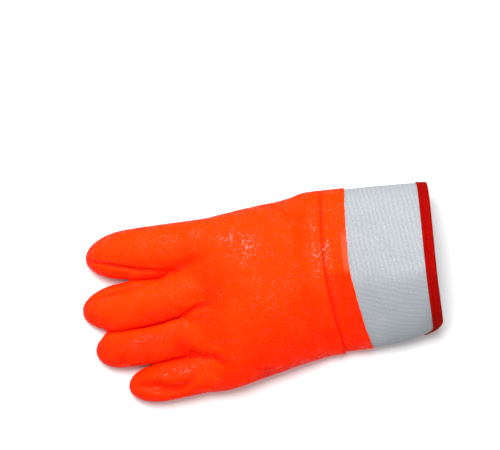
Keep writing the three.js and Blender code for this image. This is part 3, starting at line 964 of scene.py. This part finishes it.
def twill_group():
    """A woven twill on a piece's own UV map in metres: a height and a mask of the gaps between threads."""
    group, source, target = new_group("twill_weave", ["UV", "Thread"], ["Height", "Gaps"])
    parts = node(group, "ShaderNodeSeparateXYZ")
    link(group, source.outputs["UV"], parts.inputs[0])
    turns = maths(group, "DIVIDE", 2 * math.pi, source.outputs["Thread"])
    across = times(group, parts.outputs[0], turns)
    along = times(group, parts.outputs[1], turns)
    rib = maths(group, "SINE", times(group, plus(group, across, along), 0.5))
    thread = times(group, maths(group, "SINE", across), maths(group, "SINE", along))
    height = plus(group, times(group, rib, RIB), times(group, thread, THREAD))
    link(group, height, target.inputs["Height"])
    gaps = times(group, minus(group, GAP_BELOW, height), GAP_SLOPE, clamp=True)
    link(group, gaps, target.inputs["Gaps"])
    return group


def new_material(name):
    material = bpy.data.materials.new(name)
    material.use_nodes = True
    return material, material.node_tree, material.node_tree.nodes["Principled BSDF"]


def mask(tree, name):
    """A mask that is written on the mesh's vertices."""
    return node(tree, "ShaderNodeAttribute", attribute_name=name).outputs["Fac"]


def centred(tree, value, reach):
    """A value around a half, as a change of up to half the reach each way."""
    return times(tree, minus(tree, value, 0.5), reach)


def total(tree, *terms):
    """A sum that is held between 0 and 1."""
    result = terms[0]
    for term in terms[1:]:
        result = plus(tree, result, term)
    return maths(tree, "ADD", result, 0, clamp=True)


# The first two tones are the painted lit and the painted shaded orange, also mixed by random mottle.
PVC_PALE_AND_PAINTED_LIT = (1.0, 0.043, 0.0, 1)
PVC_DEEP_AND_PAINTED_SHADE = (0.97, 0.0185, 0.0, 1)
# The painted shade in the hollows.
PVC_PAINTED_HOLLOW_SHADE = (0.75, 0.001, 0.0, 1)
# The paler strip on the band.
PVC_PALE_STRIP = (1.0, 0.085, 0.03, 1)
# The painted glint on crumbs that face the key light.
PVC_PAINTED_GLINT = (1.0, 0.13, 0.035, 1)
GRAIN = 0.95 * MM
GRAIN_HEIGHT = 0.24 * MM
WET_FROM = 0.42  # value of the slow noise above which the crumbs are wet
WET_SLOPE = 6
MOTTLE = 0.5
PITS = 0.7
# How much painted glint the lit wet crumbs get.
GLINT_TINT = 0.28
PVC_ROUGH = 0.55
ROUGH_REACH = 0.3


def pvc_material(grain_group):
    """Glowing orange plastic with a sandy grain and wet crumbs; painted light, glints and redder shade in
    hollows.
    """
    material, tree, shader = new_material("orange_pvc")
    place = node(tree, "ShaderNodeTexCoord").outputs["Object"]
    sand = values(node(tree, "ShaderNodeGroup", node_tree=grain_group), Grain_size=GRAIN)
    link(tree, place, sand.inputs["Vector"])
    cloud = texture(tree, place, Scale=55.0, Detail=4.0, Roughness=0.6).outputs[0]
    patches = texture(tree, place, Scale=95.0, Detail=2.0).outputs[0]
    wet = times(tree, minus(tree, patches, WET_FROM), WET_SLOPE, clamp=True)
    glints = times(tree, sand.outputs["Crumbs"], wet)
    lit = mask(tree, "lit")
    # Painted light and shade from the lit mask, with random mottle and the grain's pits.
    painted_light_and_mottle = total(tree, lit, centred(tree, cloud, MOTTLE), centred(tree, sand.outputs["Height"], PITS))
    colour = blend_colours(tree, painted_light_and_mottle, PVC_DEEP_AND_PAINTED_SHADE, PVC_PALE_AND_PAINTED_LIT)
    # Painted glints: a paler colour on wet crumbs where the lit mask is high.
    painted_glints = times(tree, glints, times(tree, lit, GLINT_TINT))
    colour = overlaid(
        tree, colour, (painted_glints, PVC_PAINTED_GLINT), (mask(tree, "pale_strip"), PVC_PALE_STRIP), (mask(tree, "painted_hollow_shade"), PVC_PAINTED_HOLLOW_SHADE)
    )
    link(tree, glints, shader.inputs["Coat Weight"])
    link(tree, total(tree, PVC_ROUGH, centred(tree, cloud, ROUGH_REACH)), shader.inputs["Roughness"])
    wetness = {"Specular_IOR_Level": 0.03, "Coat_Roughness": 0.27, "Coat_IOR": 1.55}
    surface(tree, shader, colour, sand.outputs["Height"], 1.0, GRAIN_HEIGHT, **wetness)
    return material


KNIT_LOW = (0.5, 0.48, 0.44, 1)
KNIT_HIGH = (0.78, 0.76, 0.7, 1)
KNIT_RELIEF = 0.8 * MM


def knit_material():
    """The bleached knitted liner inside the hand."""
    material, tree, shader = new_material("knit_liner")
    place = node(tree, "ShaderNodeTexCoord").outputs["Object"]
    rows = texture(tree, place, "Wave", Scale=110.0, Distortion=2.0, Detail=1.0)
    columns = texture(tree, place, "Wave", Scale=150.0, Distortion=1.0, Detail=1.0)
    columns.bands_direction = "Y"
    stitch = times(tree, rows.outputs[1], columns.outputs[1])
    colour = blend_colours(tree, stitch, KNIT_LOW, KNIT_HIGH)
    surface(tree, shader, colour, stitch, 0.6, KNIT_RELIEF, Roughness=0.95)
    return material


CANVAS_LOW = (0.345, 0.375, 0.405, 1)
CANVAS_HIGH = (0.535, 0.555, 0.575, 1)
# The colour of the gaps between threads, also used for painted shade on the side.
CANVAS_GAP_AND_PAINTED_SHADE = (0.24, 0.265, 0.3, 1)
CANVAS_THREAD = 0.62 * MM
CANVAS_RELIEF = 0.14 * MM
TAPE_LOW = (0.27, 0.0012, 0.0008, 1)
TAPE_HIGH = (0.47, 0.004, 0.002, 1)
# The colour of the gaps between threads, also used for painted shade between the stitches.
TAPE_GAP_AND_PAINTED_SHADE = (0.16, 0.0004, 0.0003, 1)
TAPE_THREAD = 0.75 * MM
TAPE_RELIEF = 0.12 * MM
SLUB = 3.4  # how much the threads' thickness changes their tone
CLOUDS = 0.5  # and how much slow patches do

# How dark or high the details are, as shares.
CANVAS_LINES = 0.24
CANVAS_GAPS = 0.4
# Darkening of the little finger's side is painted shade.
CANVAS_SIDE_PAINTED_SHADE = 0.3
CANVAS_SLUB = 0.9
TAPE_GAPS = 0.6
# Darkening in the pits between stitches is painted shade.
STITCH_PIT_PAINTED_SHADE = 0.75
STITCH_HEIGHT = 2.5
STITCH_HALF = 0.55 * MM  # half width of the row of stitches
STITCH_SHIFT = 0.5  # makes a stitch longer than the hole after it
STITCH_SLOPE = 1.6


def woven(name, weave_group, thread, low, high):
    """A cloth material's start: its nodes, its chart, its weave, and its threads' uneven colour."""
    material, tree, shader = new_material(name)
    chart = node(tree, "ShaderNodeUVMap", uv_map="cloth").outputs[0]
    bend = texture(tree, chart, Scale=60.0, Detail=2.0)
    shift = node(tree, "ShaderNodeVectorMath", operation="MULTIPLY_ADD")
    for socket, value in zip(shift.inputs, (bend.outputs[1], (thread, thread, 0), chart)):
        feed(tree, socket, value)
    weave = values(node(tree, "ShaderNodeGroup", node_tree=weave_group), Thread=thread)
    link(tree, shift.outputs[0], weave.inputs["UV"])
    slub = texture(tree, chart, Scale=850.0, Detail=3.0, Roughness=0.7).outputs[0]
    cloud = texture(tree, chart, Scale=70.0, Detail=3.0).outputs[0]
    light = total(tree, 0.5, centred(tree, slub, SLUB), centred(tree, cloud, CLOUDS))
    return tree, shader, material, chart, weave, slub, blend_colours(tree, light, low, high)


def stripes(tree, chart, slope, pitch, waver):
    """Fine lines over cloth, one to a pitch, that lean by the slope and wander by a share of the pitch."""
    parts = node(tree, "ShaderNodeSeparateXYZ")
    link(tree, chart, parts.inputs[0])
    drift = texture(tree, chart, Scale=45.0, Detail=2.0).outputs[0]
    leaning = plus(tree, parts.outputs[1], times(tree, parts.outputs[0], slope))
    phase = plus(tree, maths(tree, "DIVIDE", leaning, pitch), centred(tree, drift, waver))
    wave = maths(tree, "SINE", times(tree, phase, 2 * math.pi))
    return plus(tree, times(tree, wave, 0.5), 0.5)


def canvas_material(weave_group):
    """Bleached canvas whose twill shows as wavering lines over the top and slanting ones down the side, with
    painted shade there.
    """
    tree, shader, material, chart, weave, slub, colour = woven(
        "grey_canvas", weave_group, CANVAS_THREAD, CANVAS_LOW, CANVAS_HIGH
    )
    side = mask(tree, "side")
    wavering = stripes(tree, chart, slope=0.12, pitch=3.6 * MM, waver=1.7)
    slanting = stripes(tree, chart, slope=2.6, pitch=12 * MM, waver=0.9)
    lines = node(tree, "ShaderNodeMix", data_type="FLOAT")
    for socket, value in ((0, side), (2, wavering), (3, slanting)):
        link(tree, value, lines.inputs[socket])
    # The lines and gaps are the weave; the side's darkening is painted shade.
    shades = ((lines.outputs[0], CANVAS_LINES), (weave.outputs["Gaps"], CANVAS_GAPS), (side, CANVAS_SIDE_PAINTED_SHADE))
    colour = overlaid(tree, colour, *((times(tree, where, share), CANVAS_GAP_AND_PAINTED_SHADE) for where, share in shades))
    height = plus(tree, weave.outputs["Height"], times(tree, slub, CANVAS_SLUB))
    surface(tree, shader, colour, height, 0.9, CANVAS_RELIEF, Roughness=0.92, Specular_IOR_Level=0.12)
    return material


def tape_material(weave_group):
    """Deep red woven tape with a row of stitches of its own colour and painted shade in the pits between
    them.
    """
    tree, shader, material, chart, weave, slub, colour = woven(
        "red_tape", weave_group, TAPE_THREAD, TAPE_LOW, TAPE_HIGH
    )
    parts = node(tree, "ShaderNodeSeparateXYZ")
    link(tree, chart, parts.inputs[0])
    off = maths(tree, "ABSOLUTE", minus(tree, parts.outputs[1], STITCH_BACK))
    row = minus(tree, 1, maths(tree, "DIVIDE", off, STITCH_HALF), clamp=True)
    wave = maths(tree, "SINE", times(tree, parts.outputs[0], 2 * math.pi / STITCH_LENGTH))
    stitch = times(tree, row, times(tree, plus(tree, wave, STITCH_SHIFT), STITCH_SLOPE, clamp=True))
    # Painted shade in the pressed pits between the stitches.
    painted_pit_shade = times(tree, minus(tree, row, stitch, clamp=True), STITCH_PIT_PAINTED_SHADE)
    gaps = times(tree, weave.outputs["Gaps"], TAPE_GAPS)
    colour = overlaid(tree, colour, (gaps, TAPE_GAP_AND_PAINTED_SHADE), (painted_pit_shade, TAPE_GAP_AND_PAINTED_SHADE))
    height = plus(tree, weave.outputs["Height"], times(tree, stitch, STITCH_HEIGHT))
    surface(tree, shader, colour, height, 0.9, TAPE_RELIEF, Roughness=0.85, Specular_IOR_Level=0.02)
    return material


GIRTH_STEPS = 721
SIDE_TURN = (0.02, 0.3)  # how far towards the little finger the side begins and is whole
SIDE_LOW = (-0.5, -0.2)  # and how low it ends


def chart_cloth(obj):
    """A UV map in metres, round the ring and back from the mouth, and a mask of the little finger's side."""
    turn = turns_of(obj.data)
    local = local_points(obj)
    back = line_at(CUFF_LENGTH, MOUTH, turn) - local[:, 0]
    girth = np.linspace(0, 2 * np.pi, GIRTH_STEPS)
    ring = cuff_point(np.full(GIRTH_STEPS, CUFF_LENGTH / 2), girth, 0)
    walked = np.concatenate([[0], np.cumsum(np.linalg.norm(np.diff(ring, axis=0), axis=1))])
    chart = obj.data.uv_layers.new(name="cloth")
    for face in obj.data.polygons:
        turns = np.array([turn[v] for v in face.vertices])
        if turns.max() - turns.min() > np.pi:
            turns[turns < np.pi] += 2 * np.pi
        for loop, vertex, angle in zip(face.loop_indices, face.vertices, turns):
            around = np.interp(angle % (2 * np.pi), girth, walked) + walked[-1] * (angle >= 2 * np.pi)
            chart.data[loop].uv = (around, back[vertex])
    write_layer(obj, "side", ease(*SIDE_TURN, -np.cos(turn)) * ease(*SIDE_LOW, np.sin(turn)))


# Scene

VIEW_CENTRE = (-61.2 * MM, 47.4 * MM)  # the picture's middle in the glove's own x and y
VIEW_TURN = math.radians(8.5)  # how far the glove is turned in the picture
VIEW_WIDTH = 412 * MM
VIEW_HEIGHT = 2.0
SENSOR = 36
PAPER_LOW = (0.9, 0.9, 0.9, 1)
PAPER_HIGH = (0.93, 0.93, 0.93, 1)
SKY = 0.36  # strength of the even light from all round


def camera():
    bpy.ops.object.camera_add(
        location=(ZERO.x + VIEW_CENTRE[0], ZERO.y + VIEW_CENTRE[1], VIEW_HEIGHT),
        rotation=(0, 0, -VIEW_TURN),
    )
    made = bpy.context.object
    made.data.sensor_width = SENSOR
    made.data.lens = SENSOR * VIEW_HEIGHT / VIEW_WIDTH
    bpy.context.scene.camera = made


def area_light(name, size, energy, place, target=(0, 0, 0)):
    bpy.ops.object.light_add(type="AREA", location=place)
    light = bpy.context.object
    light.name = name
    light.data.size = size
    light.data.energy = energy
    light.rotation_euler = (Vector(target) - Vector(place)).to_track_quat("-Z", "Y").to_euler()


def studio():
    clear_selection()
    bpy.ops.mesh.primitive_plane_add(size=6, location=(0, 0, 0))
    floor = bpy.context.object
    floor.name = "floor"
    material, tree, shader = new_material("pale_paper")
    cloud = texture(tree, node(tree, "ShaderNodeTexCoord").outputs["Object"], Scale=3.0, Detail=2.0)
    paper = blend_colours(tree, cloud.outputs[0], PAPER_LOW, PAPER_HIGH)
    link(tree, paper, shader.inputs["Base Color"])
    values(shader, Roughness=0.9)
    floor.data.materials.append(material)
    area_light("key", size=0.7, energy=29, place=(-0.1, 0.5, 1.45))
    area_light("fill", size=1.6, energy=5, place=(0.5, -0.3, 1.8))
    world = bpy.data.worlds.new("studio")
    bpy.context.scene.world = world
    world.use_nodes = True
    background = world.node_tree.nodes["Background"]
    values(background, Color=(1, 1, 1, 1), Strength=SKY)
    bpy.context.scene.view_settings.view_transform = "Standard"
    bpy.context.scene.view_settings.look = "None"


SHARP = math.radians(55)  # edges turned further than this stay sharp


def dress():
    weave = twill_group()
    skin = coated_hand([pvc_material(sandy_grain_group()), knit_material()])
    canvas = canvas_cuff()
    tape = mouth_binding()
    for obj, finish in ((canvas, canvas_material(weave)), (tape, tape_material(weave))):
        chart_cloth(obj)
        obj.data.materials.append(finish)
    rows = [
        (skin, "coated_hand", "pvc_coating"),
        (canvas, "canvas_cuff", "canvas"),
        (tape, "mouth_binding", "binding_tape"),
    ]
    for obj, cad, slot in rows:
        only(obj)
        bpy.ops.object.shade_smooth_by_angle(angle=SHARP)
        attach(obj, "root")
        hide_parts(cad)


dress()
studio()
camera()
